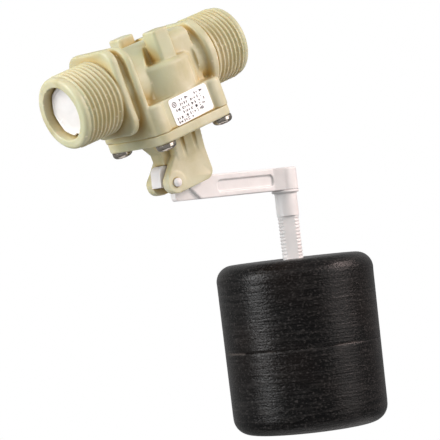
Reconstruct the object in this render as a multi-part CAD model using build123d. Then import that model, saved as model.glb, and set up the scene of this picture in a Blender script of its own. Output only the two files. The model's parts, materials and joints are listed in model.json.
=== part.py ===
from build123d import *
import math
import os

# A float valve for a water tank: a pilot-operated diaphragm valve with a lever and a float.
# Millimetres, +Z up. The origin is the centre of the inlet port's end face, +X is the way the
# water flows and -Y is the side with the label. The lever hangs at its lower stop.

# Ports, G 3/4 parallel pipe thread. Its turns are modelled as separate ridges, one pitch apart.
THREAD_R = 13.22
THREAD_PITCH = 1.814
THREAD_DEPTH = 0.95
THREAD_ROOT_WIDTH = 0.45
THREAD_FLANK_DEG = 27.5
THREAD_RELIEF_R = 12.2
LEAD_R = 12.8
LEAD_LENGTH = 2.2
LEAD_LIP = 1.4
LAND_ROOM = 1.2   # least length kept for the land and its flank
PORT_BORE_R = 9.5
INLET_THREAD_END = 16.6
OUTLET_THREAD_START = 61.6
TOTAL_LENGTH = 76.7

# Flanges beside the ports
WRENCH_FLANGE_X = (17.5, 20.8)
WRENCH_FLANGE_SIZE = (26.0, 31.0)
WRENCH_FLANGE_CORNER = 5.5
GROOVE_CORE_SIZE = (23.0, 26.0)
REAR_FLANGE_X = (22.6, 25.2)
REAR_FLANGE_Y = 15.0
REAR_FLANGE_Z = (-18.5, 14.8)
REAR_FLANGE_CORNER = 7.0
COLLAR_X = (57.2, 60.8)
COLLAR_R = 14.6
COLLAR_TOP = 12.9
SOFT_EDGE = 1.2
FINE_EDGE = 0.6
OVERLAP = 1.0

# Upper body: the inlet tube narrows to a nose between the posts
CHAMBER_X = 40.4
CHAMBER_R = 15.5
CHAMBER_TOP = 4.0
CHAMBER_EDGE = 2.0
TUBE_R = 12.2
TUBE_END = 46.5
NOSE_START = 31.0
SKIRT_HALF = 10.5
NECK_X = (45.5, 54.5)
NECK_HALF = 10.6
NECK_TOP = 12.4
NECK_EDGE = 3.5
NECK_TUBE_R = 11.6
POST_X = (37.7, 44.8)
POST_Y = (6.6, 13.6)
POST_TOP = 15.0
POST_EDGE = 1.4

# Deck block, with a column at each screw
DECK_X = (24.0, 57.0)
DECK_HALF = 15.5
DECK_Z = (-18.5, -8.0)
DECK_CORNER = 4.0
SCREW_PITCH = 26.4
COLUMN_R = 3.7

# Water passages
INLET_BORE_END = 31.0
CAVITY_R = 12.0
CAVITY_TOP = -9.2
SEAT_Z = -12.2
SEAT_BORE_R = 5.6
SEAT_OUTER_R = 6.9
SEAT_BORE_TOP = 4.0
OUTLET_DUCT_R = 7.0
SOCKET_R = 14.2
SOCKET_TOP = -13.0

# Cover, with its spigot, pilot boss and clevis
COVER_X = (23.0, 57.2)
COVER_HALF = 16.9
COVER_BOTTOM = -22.0
COVER_CORNER = 4.2
COVER_EDGE = 0.7
SPIGOT_R = 14.1
SPIGOT_BORE_R = 11.6
SPIGOT_TOP = -15.0
CONTROL_FLOOR = -20.0
SPRING_POCKET_R = 4.3
SPRING_POCKET_FLOOR = -24.5
PILOT_BOSS_X = (36.0, 46.4)
PILOT_BOSS_BOTTOM = -27.0
STOP_BLOCK_X = (30.8, 36.5)
STOP_BLOCK_BOTTOM = -30.6
STOP_GUSSET = (27.6, -26.6)

# Clevis ears
EAR_INNER = 3.1
EAR_OUTER = 6.4
EAR_X = (34.5, 47.6)
EAR_BOTTOM = -41.2
EAR_CORNER = 3.5
EAR_BOSS_R = 3.8
EAR_BOSS_OUT = 0.3
EAR_RIB_OUT = 1.6
EAR_RIB_BOTTOM = -31.0
EAR_RIB_X = ((34.9, 37.8), (39.3, 43.1), (44.6, 47.4))

# Pivot
PIVOT_X = 30.8
PIVOT_Z = -37.3
PIN_R = 1.25
PIN_HEAD_R = 1.55
PIN_HEAD_DEPTH = 0.9
PIN_HEAD_OUT = 0.7
PIN_DOME = 0.7
PIN_HOLE_GAP = 0.03
LEVER_HOLE_GAP = 0.06
CLIP_GROOVE_R = 0.9
CLIP_OUTER_R = 2.4
CLIP_THICKNESS = 0.5

# Lever, in its own frame: X along the arm from the pivot, Z away from the float
DROOP_DEG = 16.76
ARM_TOP = 1.7
ARM_BOTTOM = -6.5
ARM_HALF = 2.6
WEB_START = 2.4
WEB_HALF = 1.4
WEB_CORNER = 1.2
ARM_SLANT = ((7.4, -1.3), (12.9, -6.5))
HUB_START = -4.3
HUB_END = 13.4
HUB_TOP = 6.3
HUB_BOTTOM = -1.3
HUB_HALF = 2.75
HUB_EDGE = 2.6
ARM_POCKET = (20.5, 46.0, -4.6, -0.5)
ARM_POCKET_DEPTH = 0.8
ARM_POCKET_CORNER = 1.6
ARM_FLARE_X = (46.3, 50.6)
ARM_FLARE_HALF = 4.2
STEM_X = 52.9
END_BOSS_R = 4.85
PAD_X = 9.6
PAD_R = 2.2
PAD_TOP = 7.7
PAD_POCKET = 1.6
PAD_EDGE = 0.3

# Threaded stem, below the arm's end boss
STEM_PEG_R = 2.4
STEM_HEAD_R = 3.2
STEM_HEAD_DEPTH = 1.2
STEM_COLLAR_R = 5.0
STEM_COLLAR_LENGTH = 1.0
STEM_COLLAR_EDGE = 0.4
STEM_SHANK_R = 4.05
STEM_THREAD_START = -15.9
STEM_THREAD_R = 3.85
STEM_THREAD_PITCH = 1.25
STEM_THREAD_DEPTH = 0.55
STEM_THREAD_ROOT = 0.2
STEM_THREAD_FLANK_DEG = 30.0
STEM_END = -47.3

# Float
FLOAT_TOP = -31.5
FLOAT_SEAM = -62.9
FLOAT_BOTTOM = -93.2
FLOAT_TOP_R = 28.6
FLOAT_BOTTOM_R = 28.1
FLOAT_TOP_FILLET = 6.0
FLOAT_BOTTOM_FILLET = 6.2
FLOAT_WALL = 2.0
SEAM_CHAMFER = 0.25
SEAM_LIP = 2.5
SEAM_LIP_WALL = 1.0
SEAM_LIP_GAP = 0.05
FLOAT_SOCKET_R = 6.6
FLOAT_SOCKET_END = -59.3
INSERT_R = 5.2
INSERT_LENGTH = 11.5
INSERT_RECESS = 0.4
STEM_CLEARANCE = 0.12
SOCKET_BORE_R = 4.6
SOCKET_FLOOR = 1.6

# Diaphragm and the parts that move with it
RIM_R = 14.1
RIM_TOP = -13.0
DISC_R = 9.4
DISC_THICKNESS = 2.0
FOLD_R = 1.1
FOLD_THICKNESS = 0.6
GUIDE_STEM_R = 2.2
GUIDE_FLANGE_R = 4.6
GUIDE_FLANGE = 1.0
GUIDE_VANE_R = 5.45
GUIDE_VANE = 1.2
GUIDE_TOP = -3.5
PLATE_R = 9.2
PLATE_THICKNESS = 1.5
GUIDE_SCREW_R = 1.1
GUIDE_SCREW_HEAD_R = 2.3
GUIDE_SCREW_HEAD = 1.2
GUIDE_SCREW_TOP = -9.0
JET_RING_R = 8.2
JET_R = 0.7
JET_BORE_R = 0.25
JET_FLANGE_R = 0.95
JET_FLANGE = 0.4
HOLE_GAP = 0.05
SPRING_R = 3.3
SPRING_WIRE_R = 0.35
SPRING_TURNS = 5.5

# Pilot nozzle
NOZZLE_SHANK_R = 1.55
NOZZLE_FLANGE_R = 2.7
NOZZLE_FLANGE = 1.0
NOZZLE_TIP_R = 1.0
NOZZLE_TIP = -29.55
NOZZLE_BORE_R = 0.4
SEAL_R = 2.0
SEAL_WIRE_R = 0.38
SEAL_POCKET_R = 2.42
SEAL_POCKET = 0.85

# Cover screws, M4 pan head
SCREW_R = 1.9
SCREW_HEAD_R = 3.6
SCREW_HEAD = 2.7
SCREW_HEAD_EDGE = 1.6
SCREW_TOP = -11.0
SCREW_HOLE_R = 1.95
COVER_HOLE_R = 2.1
SCREW_THREAD_PITCH = 1.4
SCREW_THREAD_DEPTH = 0.4
SCREW_POINT = 1.2
RECESS_LENGTH = 4.2
RECESS_WIDTH = 1.0
RECESS_DEPTH = 1.3
RECESS_FLOOR_LENGTH = 1.4

# Inlet strainer
STRAINER_X = (3.2, 11.5)
STRAINER_R = 9.42
STRAINER_WALL = 1.3
STRAINER_FACE = 1.4
STRAINER_HOLE_R = 0.25
STRAINER_HOLE_PITCH = 1.15
STRAINER_HOLE_FIELD = 7.0
STRAINER_NOTCH = (2.4, 1.6)

# Label
LABEL_CENTRE = (41.3, -13.27)
LABEL_SIZE = (17.7, 9.6)
LABEL_CORNER = 1.2
LABEL_THICKNESS = 0.15
LABEL_TILT_DEG = 1.5

FULL_TURN = 360


def x_cylinder(radius, start, end):
    """A cylinder along X on the flow axis."""
    return Pos((start + end) / 2, 0, 0) * Rot(0, 90, 0) * Cylinder(radius, end - start)


def y_cylinder(radius, start, end, x=PIVOT_X, z=PIVOT_Z):
    """A cylinder along Y, on the pivot unless told otherwise."""
    return Pos(x, (start + end) / 2, z) * Rot(90, 0, 0) * Cylinder(radius, end - start)


def z_cylinder(radius, bottom, top, x=CHAMBER_X, y=0.0):
    """A cylinder along Z, on the chamber's axis unless told otherwise."""
    return Pos(x, y, (bottom + top) / 2) * Cylinder(radius, top - bottom)


def block(x_range, y_range, z_range):
    """A box between the given limits."""
    size = [limits[1] - limits[0] for limits in (x_range, y_range, z_range)]
    centre = [(limits[0] + limits[1]) / 2 for limits in (x_range, y_range, z_range)]
    return Pos(*centre) * Box(*size)


def outline(points):
    """A flat face in the XZ plane through the given points."""
    return Plane.XZ * make_face(Polyline(*points, close=True))


def slab(points, half_width):
    """An XZ outline made solid, as far on each side of Y = 0."""
    return extrude(outline(points), amount=half_width, both=True)


def turned(points):
    """An XZ outline revolved about Z."""
    return revolve(outline(points), Axis.Z, FULL_TURN)


def helical_groove(radius, pitch, depth, root_width, flank_deg, length):
    """The cutter of a thread groove about +Z that starts a turn below Z = 0."""
    path = Pos(0, 0, -pitch) * Helix(pitch, length + pitch, radius)
    outside = depth / 2
    root = root_width / 2
    mouth = root + (depth + outside) * math.tan(math.radians(flank_deg))
    corners = [(-depth, -root), (-depth, root), (outside, mouth), (outside, -mouth)]
    section = Plane(path @ 0, x_dir=(1, 0, 0), z_dir=path % 0) * make_face(Polyline(*corners, close=True))
    return sweep(section, path=path, is_frenet=True)


def screw_places():
    """The four screw axes, as X and Y."""
    half = SCREW_PITCH / 2
    return [(CHAMBER_X + sx * half, sy * half) for sx in (-1, 1) for sy in (-1, 1)]


def softened(solid, radius, axis=None):
    """The solid with its edges rounded: all of them, or those along one axis."""
    edges = solid.edges() if axis is None else solid.edges().filter_by(axis)
    return fillet(edges, radius)


# ---- Valve body ----

def port_thread(length):
    """A port along +X: a plain lead ring with a round lip at X = 0, the thread's ridges and a plain land."""
    lead = x_cylinder(LEAD_R, 0, LEAD_LENGTH)
    lead = fillet(lead.edges().filter_by(GeomType.CIRCLE).sort_by(Axis.X)[0], LEAD_LIP)
    root_r = THREAD_R - THREAD_DEPTH
    flank = THREAD_DEPTH * math.tan(math.radians(THREAD_FLANK_DEG))
    x = LEAD_LENGTH
    points = [(x, 0), (x, root_r)]
    for turn in range(int((length - LEAD_LENGTH - LAND_ROOM) / THREAD_PITCH)):
        rise = x + THREAD_ROOT_WIDTH
        x += THREAD_PITCH
        points += [(rise, root_r), (rise + flank, THREAD_R), (x - flank, THREAD_R), (x, root_r)]
    rise = x + THREAD_ROOT_WIDTH
    points += [(rise, root_r), (rise + flank, THREAD_R), (length, THREAD_R), (length, 0)]
    return lead + revolve(outline(points), Axis.X, FULL_TURN)


def flange_plate(x_range, face):
    """A YZ face made into a plate between two X limits, with soft edges all round."""
    plate = Pos(x_range[0], 0, 0) * extrude(face, amount=x_range[1] - x_range[0], dir=(1, 0, 0))
    rims = plate.faces().sort_by(Axis.X)
    return fillet(rims[0].edges() + rims[-1].edges(), SOFT_EDGE)


def wrench_flange():
    face = Plane.YZ * RectangleRounded(*WRENCH_FLANGE_SIZE, WRENCH_FLANGE_CORNER)
    return flange_plate(WRENCH_FLANGE_X, face)


def rear_flange():
    """The plate behind the groove. It runs down to the cover as the deck's end wall."""
    low, high = REAR_FLANGE_Z
    corners = [(-REAR_FLANGE_Y, low), (REAR_FLANGE_Y, low), (REAR_FLANGE_Y, high), (-REAR_FLANGE_Y, high)]
    face = make_face(Polyline(*corners, close=True))
    face = fillet(face.vertices().sort_by(Axis.Y)[-2:], REAR_FLANGE_CORNER)
    return flange_plate(REAR_FLANGE_X, Plane.YZ * face)


def outlet_collar():
    """A round plate with a flat top, soft at both rims."""
    collar = x_cylinder(COLLAR_R, *COLLAR_X)
    collar -= block(COLLAR_X, (-COLLAR_R, COLLAR_R), (COLLAR_TOP, COLLAR_R))
    rims = collar.faces().sort_by(Axis.X)
    return fillet(rims[0].edges() + rims[-1].edges(), SOFT_EDGE)


def inlet_tube():
    """The tube behind the flange: from above, its sides run in at 45 degrees to a nose between the posts."""
    start = REAR_FLANGE_X[0]
    nose_half = POST_Y[0]
    nose_x = NOSE_START + TUBE_R - nose_half
    corners = [(start, -TUBE_R), (NOSE_START, -TUBE_R), (nose_x, -nose_half), (TUBE_END, -nose_half),
               (TUBE_END, nose_half), (nose_x, nose_half), (NOSE_START, TUBE_R), (start, TUBE_R)]
    plan = extrude(make_face(Polyline(*corners, close=True)), amount=TUBE_R, both=True)
    return x_cylinder(TUBE_R, start, TUBE_END) & plan


def upper_body():
    """Inlet tube with its skirt, chamber, posts and outlet neck."""
    tube = inlet_tube()
    chamber = z_cylinder(CHAMBER_R, DECK_Z[0], CHAMBER_TOP)
    chamber = fillet(chamber.edges().sort_by(Axis.Z)[-1], CHAMBER_EDGE)
    neck = block(NECK_X, (-NECK_HALF, NECK_HALF), (SEAT_Z, NECK_TOP))
    top_edges = neck.edges().filter_by(Axis.X).sort_by(Axis.Z)[-2:]
    neck = fillet(top_edges, NECK_EDGE)
    neck_tube = x_cylinder(NECK_TUBE_R, NECK_X[1] - OVERLAP, COLLAR_X[0] + OVERLAP)
    skirt = block((REAR_FLANGE_X[0], CHAMBER_X), (-SKIRT_HALF, SKIRT_HALF), (DECK_Z[0], 0))
    solid = tube + skirt + chamber + neck + neck_tube
    for side in (-1, 1):
        y_range = sorted((side * POST_Y[0], side * POST_Y[1]))
        post = block(POST_X, y_range, (0, POST_TOP))
        post = softened(post, POST_EDGE, Axis.Z)
        post = fillet(post.faces().sort_by(Axis.Z)[-1].edges(), FINE_EDGE)
        solid += post
    return solid


def deck():
    """The block that the cover screws to."""
    solid = softened(block(DECK_X, (-DECK_HALF, DECK_HALF), DECK_Z), DECK_CORNER, Axis.Z)
    for x, y in screw_places():
        column = z_cylinder(COLUMN_R, *DECK_Z, x, y)
        solid += fillet(column.edges().sort_by(Axis.Z)[-1], SOFT_EDGE)
    return solid


def inlet_passage():
    """From the inlet port to the space round the seat."""
    slope = z_cylinder(CAVITY_R, SEAT_Z, 0) & block((0, INLET_BORE_END), (-CAVITY_R, CAVITY_R), (SEAT_Z, 0))
    ring = z_cylinder(CAVITY_R, SEAT_Z, CAVITY_TOP) - z_cylinder(SEAT_OUTER_R, SEAT_Z, CAVITY_TOP)
    return x_cylinder(PORT_BORE_R, 0, INLET_BORE_END) + slope + ring


def outlet_passage():
    """From the seat up and out of the outlet port."""
    riser = z_cylinder(SEAT_BORE_R, SEAT_Z, SEAT_BORE_TOP)
    duct = x_cylinder(OUTLET_DUCT_R, CHAMBER_X, TOTAL_LENGTH)
    return riser + duct + x_cylinder(PORT_BORE_R, COLLAR_X[0], TOTAL_LENGTH)


def diaphragm_socket():
    """Open from below: the cavity under the seat and the bore for the cover's spigot."""
    return z_cylinder(CAVITY_R, DECK_Z[0], SEAT_Z) + z_cylinder(SOCKET_R, DECK_Z[0], SOCKET_TOP)


def valve_body():
    solid = port_thread(INLET_THREAD_END)
    solid += Pos(TOTAL_LENGTH, 0, 0) * Rot(0, 0, 180) * port_thread(TOTAL_LENGTH - OUTLET_THREAD_START)
    solid += x_cylinder(THREAD_RELIEF_R, INLET_THREAD_END - OVERLAP, REAR_FLANGE_X[0])
    solid += Pos(WRENCH_FLANGE_X[1] - OVERLAP, 0, 0) * extrude(
        Plane.YZ * RectangleRounded(*GROOVE_CORE_SIZE, WRENCH_FLANGE_CORNER),
        amount=REAR_FLANGE_X[0] - WRENCH_FLANGE_X[1] + 2 * OVERLAP, dir=(1, 0, 0))
    solid += x_cylinder(THREAD_RELIEF_R, COLLAR_X[1] - OVERLAP, OUTLET_THREAD_START + OVERLAP)
    solid += outlet_collar() + wrench_flange() + rear_flange() + upper_body() + deck()
    solid -= inlet_passage() + outlet_passage()
    solid -= diaphragm_socket()
    for x, y in screw_places():
        solid -= z_cylinder(SCREW_HOLE_R, DECK_Z[0], SCREW_TOP + SCREW_POINT, x, y)
    return solid


def inlet_strainer():
    """A cup with a perforated face and a pull notch in its lower edge."""
    front, back = STRAINER_X
    solid = x_cylinder(STRAINER_R, front, back)
    solid -= x_cylinder(STRAINER_R - STRAINER_WALL, front + STRAINER_FACE, back)
    rows = int(STRAINER_HOLE_FIELD / STRAINER_HOLE_PITCH)
    row_height = STRAINER_HOLE_PITCH * math.sin(math.radians(60))
    holes = []
    for row in range(-rows, rows + 1):
        for column in range(-rows - 1, rows + 2):
            y = (column + (row % 2) / 2) * STRAINER_HOLE_PITCH
            z = row * row_height
            if math.hypot(y, z) < STRAINER_HOLE_FIELD:
                holes.append(Pos(0, y, z) * x_cylinder(STRAINER_HOLE_R, front, front + STRAINER_FACE))
    solid -= holes
    width, height = STRAINER_NOTCH
    return solid - block((front, front + STRAINER_FACE), (-width / 2, width / 2),
                         (-STRAINER_R, height - STRAINER_R))


def label():
    """A sticker on the deck's flat side, a little askew."""
    width, height = LABEL_SIZE
    sticker = extrude(RectangleRounded(width, height, LABEL_CORNER), amount=LABEL_THICKNESS)
    x, z = LABEL_CENTRE
    return Pos(x, -DECK_HALF, z) * Rot(0, -LABEL_TILT_DEG, 0) * Rot(90, 0, 0) * sticker


# ---- Cover ----

def cover_plate():
    x_size = COVER_X[1] - COVER_X[0]
    face = RectangleRounded(x_size, 2 * COVER_HALF, COVER_CORNER)
    centre = (COVER_X[0] + COVER_X[1]) / 2
    plate = Pos(centre, 0, COVER_BOTTOM) * extrude(face, amount=DECK_Z[0] - COVER_BOTTOM)
    return fillet(plate.faces().sort_by(Axis.Z)[0].edges(), COVER_EDGE)


def ear(side):
    """One clevis ear: a plate with a round boss at the pivot and three ribs at the top."""
    reach = EAR_BOSS_R * math.sqrt(0.5)
    touch = (PIVOT_X - reach, PIVOT_Z + reach)
    left, right = EAR_X
    slant_top = touch[1] + left - touch[0]
    corners = [(left, COVER_BOTTOM), (left, slant_top), touch, (PIVOT_X, PIVOT_Z),
               (PIVOT_X, EAR_BOTTOM), (right, EAR_BOTTOM), (right, COVER_BOTTOM)]
    middle = (EAR_INNER + EAR_OUTER) / 2
    solid = Pos(0, side * middle, 0) * slab(corners, (EAR_OUTER - EAR_INNER) / 2)
    corner = solid.edges().filter_by(Axis.Y).sort_by(Axis.X)[-2:].sort_by(Axis.Z)[0]
    solid = fillet(corner, EAR_CORNER)
    boss_span = sorted((side * EAR_INNER, side * (EAR_OUTER + EAR_BOSS_OUT)))
    solid += y_cylinder(EAR_BOSS_R, *boss_span)
    root = EAR_OUTER - OVERLAP
    wedge = Polyline((side * root, COVER_BOTTOM), (side * (EAR_OUTER + EAR_RIB_OUT), COVER_BOTTOM),
                     (side * EAR_OUTER, EAR_RIB_BOTTOM), (side * root, EAR_RIB_BOTTOM), close=True)
    for start, end in EAR_RIB_X:
        solid += Pos(start, 0, 0) * extrude(Plane.YZ * make_face(wedge), amount=end - start, dir=(1, 0, 0))
    return solid


def stop_block():
    """Between the ears: the lever's heel comes up against its lower end."""
    left, right = STOP_BLOCK_X
    solid = block((left, right), (-EAR_INNER, EAR_INNER), (STOP_BLOCK_BOTTOM, COVER_BOTTOM))
    gusset_start, gusset_end = STOP_GUSSET
    return solid + slab([(gusset_start, COVER_BOTTOM), (left, COVER_BOTTOM), (left, gusset_end)], EAR_INNER)


def cover_bracket():
    solid = cover_plate() + ear(-1) + ear(1) + stop_block()
    solid += block(PILOT_BOSS_X, (-EAR_INNER, EAR_INNER), (PILOT_BOSS_BOTTOM, COVER_BOTTOM))
    solid += z_cylinder(SPIGOT_R, DECK_Z[0], SPIGOT_TOP)
    solid -= z_cylinder(SPIGOT_BORE_R, CONTROL_FLOOR, SPIGOT_TOP)
    solid -= z_cylinder(SPRING_POCKET_R, SPRING_POCKET_FLOOR, CONTROL_FLOOR)
    solid -= z_cylinder(NOZZLE_SHANK_R + PIN_HOLE_GAP, PILOT_BOSS_BOTTOM, SPRING_POCKET_FLOOR)
    solid -= z_cylinder(SEAL_POCKET_R, PILOT_BOSS_BOTTOM, PILOT_BOSS_BOTTOM + SEAL_POCKET)
    for x, y in screw_places():
        solid -= z_cylinder(COVER_HOLE_R, COVER_BOTTOM, DECK_Z[0], x, y)
    face = EAR_OUTER + EAR_BOSS_OUT
    solid -= y_cylinder(PIN_R + PIN_HOLE_GAP, -face, face)
    return solid - y_cylinder(PIN_HEAD_R + PIN_HOLE_GAP, -face, PIN_HEAD_DEPTH - face)


def cover_screws():
    """Four pan-head screws, driven up from below. Their threads are plain rings."""
    neck = SCREW_R - SCREW_THREAD_DEPTH
    head = z_cylinder(SCREW_HEAD_R, COVER_BOTTOM - SCREW_HEAD, COVER_BOTTOM, 0)
    head = fillet(head.edges().sort_by(Axis.Z)[0], SCREW_HEAD_EDGE)
    points = [(0, COVER_BOTTOM), (SCREW_R, COVER_BOTTOM), (SCREW_R, DECK_Z[0])]
    for turn in range(int((SCREW_TOP - DECK_Z[0]) / SCREW_THREAD_PITCH)):
        z = DECK_Z[0] + turn * SCREW_THREAD_PITCH
        points += [(neck, z + SCREW_THREAD_PITCH / 3), (SCREW_R, z + SCREW_THREAD_PITCH)]
    points += [(neck, SCREW_TOP), (0, SCREW_TOP + SCREW_POINT / 2)]
    screw = head + turned(points)
    bottom = COVER_BOTTOM - SCREW_HEAD
    mouth = RECESS_LENGTH / 2
    floor = RECESS_FLOOR_LENGTH / 2
    slot = slab([(-mouth, bottom), (mouth, bottom), (floor, bottom + RECESS_DEPTH),
                 (-floor, bottom + RECESS_DEPTH)], RECESS_WIDTH / 2)
    screw -= slot + Rot(0, 0, 90) * slot
    return Compound([Pos(x, y, 0) * screw for x, y in screw_places()])


def pilot_nozzle():
    """A turned brass jet, pressed into the pilot boss."""
    flange_bottom = PILOT_BOSS_BOTTOM - NOZZLE_FLANGE
    points = [(NOZZLE_BORE_R, SPRING_POCKET_FLOOR), (NOZZLE_SHANK_R, SPRING_POCKET_FLOOR),
              (NOZZLE_SHANK_R, PILOT_BOSS_BOTTOM), (NOZZLE_FLANGE_R, PILOT_BOSS_BOTTOM),
              (NOZZLE_FLANGE_R, flange_bottom), (NOZZLE_SHANK_R, flange_bottom),
              (NOZZLE_TIP_R, NOZZLE_TIP), (NOZZLE_BORE_R, NOZZLE_TIP)]
    return Pos(CHAMBER_X, 0, 0) * turned(points)


def nozzle_seal():
    return Pos(CHAMBER_X, 0, PILOT_BOSS_BOTTOM + SEAL_POCKET / 2) * Torus(SEAL_R, SEAL_WIRE_R)


def pivot_pin():
    """A domed pin that goes in from the label side, with a groove for its clip."""
    face = EAR_OUTER + EAR_BOSS_OUT
    head_top = PIN_HEAD_DEPTH - face
    tip = face + PIN_HEAD_OUT + PIN_DOME
    end = face + CLIP_THICKNESS * 3
    dome_r = (PIN_HEAD_R ** 2 + PIN_DOME ** 2) / (2 * PIN_DOME)
    dome = Pos(PIVOT_X, dome_r - tip, PIVOT_Z) * Sphere(dome_r)
    solid = dome & y_cylinder(PIN_HEAD_R, -tip, PIN_DOME - tip)
    solid += y_cylinder(PIN_HEAD_R, PIN_DOME - tip, head_top)
    solid += y_cylinder(PIN_R, head_top, end)
    groove = y_cylinder(PIN_R, *clip_span()) - y_cylinder(CLIP_GROOVE_R, *clip_span())
    return solid - groove


def clip_span():
    start = EAR_OUTER + EAR_BOSS_OUT + CLIP_THICKNESS / 2
    return start, start + CLIP_THICKNESS


def pin_clip():
    """An open clip in the pin's groove."""
    ring = y_cylinder(CLIP_OUTER_R, *clip_span()) - y_cylinder(CLIP_GROOVE_R + HOLE_GAP, *clip_span())
    mouth = block((PIVOT_X - CLIP_GROOVE_R, PIVOT_X + CLIP_GROOVE_R), clip_span(),
                  (PIVOT_Z, PIVOT_Z + CLIP_OUTER_R))
    return ring - mouth


# ---- Diaphragm ----

def diaphragm():
    """Clamped rim, one fold and a thick centre that seals on the seat."""
    disc = z_cylinder(DISC_R, SEAT_Z - DISC_THICKNESS, SEAT_Z)
    rim = z_cylinder(RIM_R, SPIGOT_TOP, RIM_TOP) - z_cylinder(SPIGOT_BORE_R, SPIGOT_TOP, RIM_TOP)
    fold_x = (DISC_R + SPIGOT_BORE_R) / 2
    fold_z = (RIM_TOP + SEAT_Z - DISC_THICKNESS) / 2
    outer = FOLD_R + FOLD_THICKNESS / 2
    inner = FOLD_R - FOLD_THICKNESS / 2
    fold = Torus(fold_x, outer) - Torus(fold_x, inner)
    fold &= Pos(0, 0, -outer / 2) * Box(2 * RIM_R, 2 * RIM_R, outer)
    solid = disc + rim + Pos(CHAMBER_X, 0, fold_z) * fold
    solid -= z_cylinder(GUIDE_STEM_R + HOLE_GAP, SEAT_Z - DISC_THICKNESS, SEAT_Z)
    return solid - z_cylinder(JET_R + HOLE_GAP, SEAT_Z - DISC_THICKNESS, SEAT_Z, CHAMBER_X + JET_RING_R)


def diaphragm_guide():
    """Four vanes in the seat bore, a flange on the diaphragm and a stem through it."""
    plate_bottom = SEAT_Z - DISC_THICKNESS - PLATE_THICKNESS
    flange_top = SEAT_Z + GUIDE_FLANGE
    solid = z_cylinder(GUIDE_STEM_R, plate_bottom, SEAT_Z) + z_cylinder(GUIDE_FLANGE_R, SEAT_Z, flange_top)
    vanes = Box(2 * GUIDE_VANE_R, GUIDE_VANE, GUIDE_TOP - SEAT_Z)
    vanes += Rot(0, 0, 90) * vanes
    vanes = Pos(CHAMBER_X, 0, (GUIDE_TOP + SEAT_Z) / 2) * vanes
    solid += vanes & z_cylinder(GUIDE_VANE_R, SEAT_Z, GUIDE_TOP)
    return solid - z_cylinder(GUIDE_SCREW_R + HOLE_GAP, plate_bottom, GUIDE_SCREW_TOP)


def diaphragm_plate():
    bottom = SEAT_Z - DISC_THICKNESS - PLATE_THICKNESS
    top = bottom + PLATE_THICKNESS
    solid = z_cylinder(PLATE_R, bottom, top) - z_cylinder(GUIDE_STEM_R + HOLE_GAP, bottom, top)
    return solid - z_cylinder(JET_R + HOLE_GAP, bottom, top, CHAMBER_X + JET_RING_R)


def guide_screw():
    head_top = SEAT_Z - DISC_THICKNESS - PLATE_THICKNESS
    head = z_cylinder(GUIDE_SCREW_HEAD_R, head_top - GUIDE_SCREW_HEAD, head_top)
    head = fillet(head.edges().sort_by(Axis.Z)[0], GUIDE_SCREW_HEAD / 2)
    return head + z_cylinder(GUIDE_SCREW_R, head_top, GUIDE_SCREW_TOP)


def bleed_jet():
    """A tiny flanged tube through the diaphragm and its plate."""
    bottom = SEAT_Z - DISC_THICKNESS - PLATE_THICKNESS
    points = [(JET_BORE_R, bottom - JET_FLANGE), (JET_FLANGE_R, bottom - JET_FLANGE), (JET_FLANGE_R, bottom),
              (JET_R, bottom), (JET_R, SEAT_Z), (JET_FLANGE_R, SEAT_Z),
              (JET_FLANGE_R, SEAT_Z + JET_FLANGE), (JET_BORE_R, SEAT_Z + JET_FLANGE)]
    return Pos(CHAMBER_X + JET_RING_R, 0, 0) * turned(points)


def main_spring():
    """A compression spring between the plate and the floor of its pocket."""
    top = SEAT_Z - DISC_THICKNESS - PLATE_THICKNESS - SPRING_WIRE_R - HOLE_GAP
    bottom = SPRING_POCKET_FLOOR + SPRING_WIRE_R + HOLE_GAP
    path = Helix((top - bottom) / SPRING_TURNS, top - bottom, SPRING_R)
    wire = Plane(path @ 0, z_dir=path % 0) * Circle(SPRING_WIRE_R)
    return Pos(CHAMBER_X, 0, bottom) * sweep(wire, path=path, is_frenet=True)


# ---- Lever, stem and float, built in the lever's frame ----

def arm_flare():
    """Widens the arm into its end boss."""
    start, end = ARM_FLARE_X
    half = ARM_FLARE_HALF
    corners = [(start, -ARM_HALF), (end, -half), (STEM_X, -half),
               (STEM_X, half), (end, half), (start, ARM_HALF)]
    plan = make_face(Polyline(*corners, close=True))
    return Pos(0, 0, ARM_BOTTOM) * extrude(plan, amount=ARM_TOP - ARM_BOTTOM)


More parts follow.
